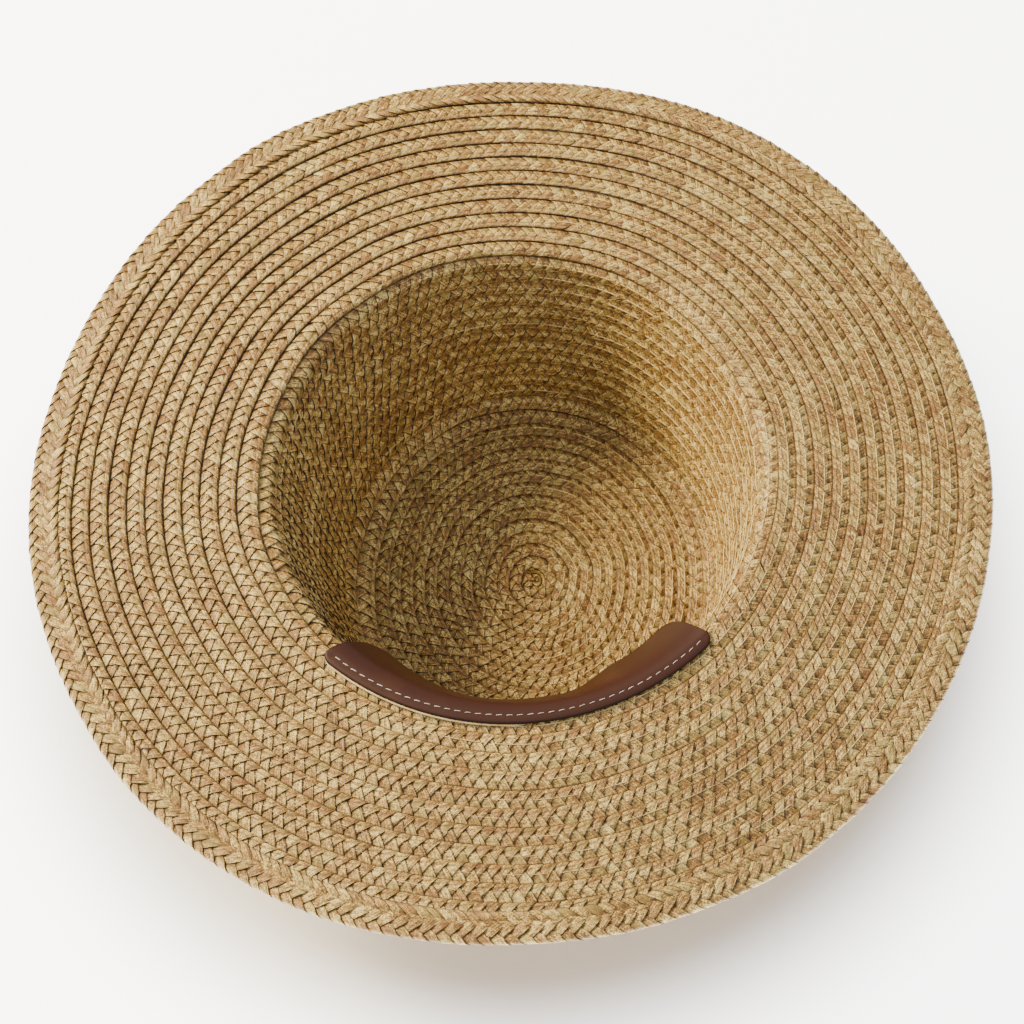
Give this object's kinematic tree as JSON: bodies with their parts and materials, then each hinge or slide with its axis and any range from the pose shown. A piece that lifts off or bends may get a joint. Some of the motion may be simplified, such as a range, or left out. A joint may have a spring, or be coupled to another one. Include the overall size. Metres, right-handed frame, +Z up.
{
  "type": "straw boater hat",
  "caption": "Wide-brimmed straw hat sewn from one long plait in lapped rows, resting on its crown with the head opening up, a leather piece bent over the front of the opening.",
  "frame": {"origin": "middle of the brim's outline, on the surface that the flat of the crown rests on", "axes": "+Z up out of the head opening, -Y towards the leather at the front, +X to the right of the picture"},
  "size_m": [0.355, 0.3688, 0.0948],
  "materials": {
    "straw": "plaited natural straw, satin",
    "leather": "smooth brown leather, low sheen"
  },
  "bodies": {
    "root": {"crown_tip": "straw", "crown_wall": "straw", "brim": "straw", "brim_edge": "straw", "leather_band": "leather"}
  },
  "joints": []
}
